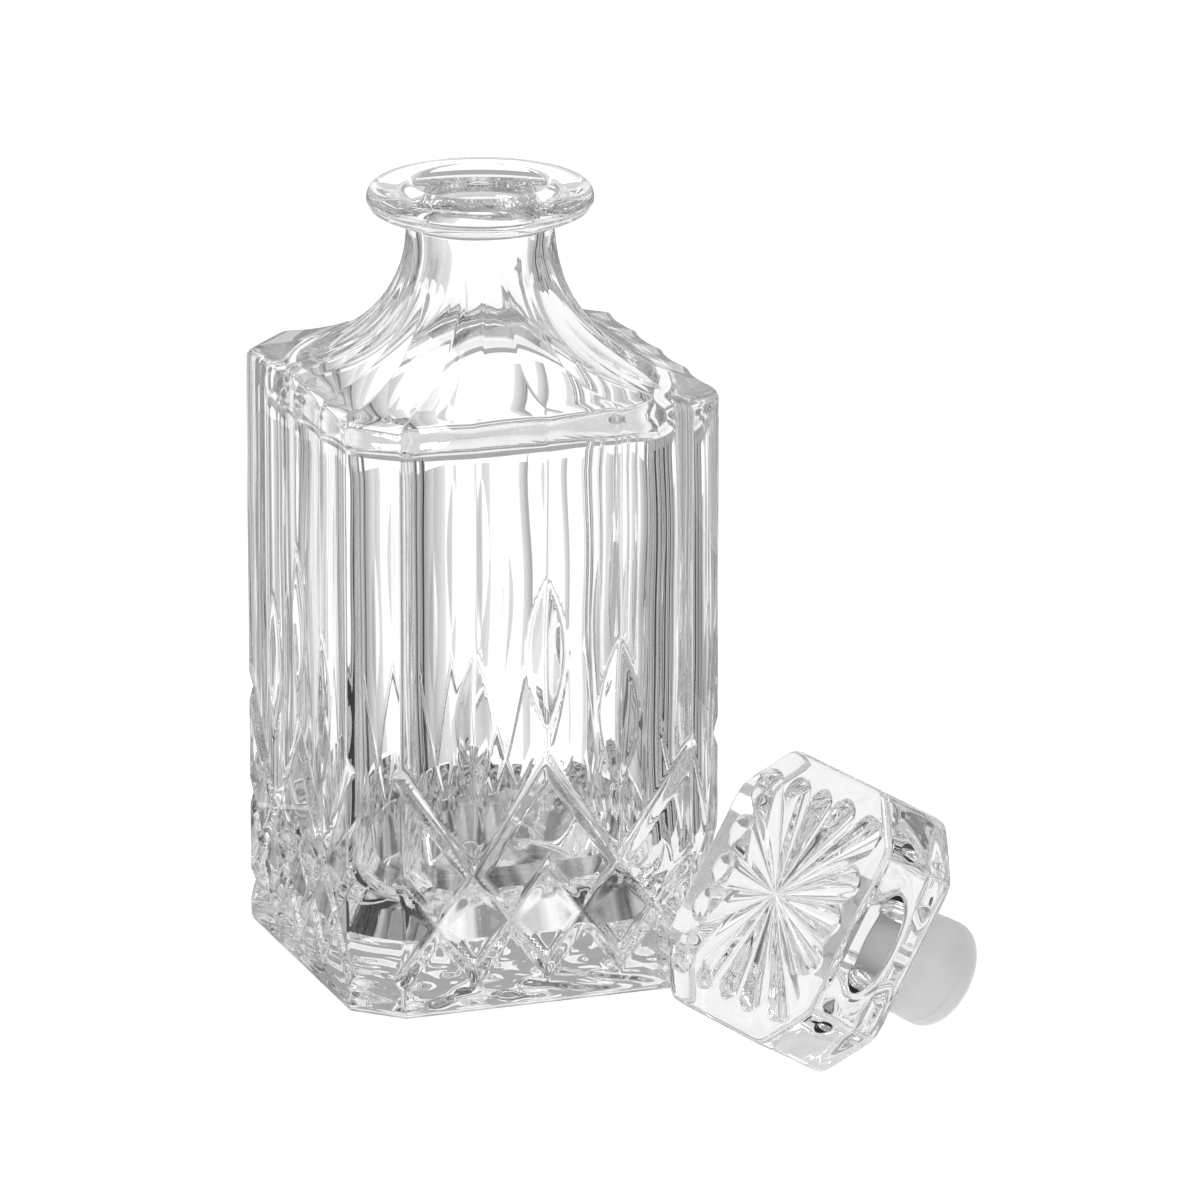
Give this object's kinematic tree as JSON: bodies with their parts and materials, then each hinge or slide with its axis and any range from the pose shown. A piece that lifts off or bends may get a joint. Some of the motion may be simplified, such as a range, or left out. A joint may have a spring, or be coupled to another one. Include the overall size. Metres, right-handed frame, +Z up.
{
  "type": "decanter",
  "caption": "Square cut-corner glass decanter with a cut pattern, a flared lip and a loose square rosette stopper lying beside it.",
  "frame": {"origin": "centre of the bottle's underside, on the surface that it stands on", "axes": "+Z up along the bottle's axis; X and Y square to the upright faces, with the stopper lying on the -Y side"},
  "size_m": [0.1319, 0.1712, 0.1835],
  "materials": {
    "bottle_glass": "clear pressed glass with cut facets, fire-polished gloss",
    "stopper_glass": "clear pressed glass, gloss",
    "seal_plastic": "clear to milky soft plastic, smooth"
  },
  "bodies": {
    "bottle": {"bottle": "bottle_glass"},
    "stopper": {"stopper": "stopper_glass", "seal_sleeve": "seal_plastic"}
  },
  "joints": [
    {"name": "stopper_lift", "type": "slide", "parent": "bottle", "child": "stopper", "axis": [0, 0, 1], "range_m": [0, 0.25]}
  ]
}
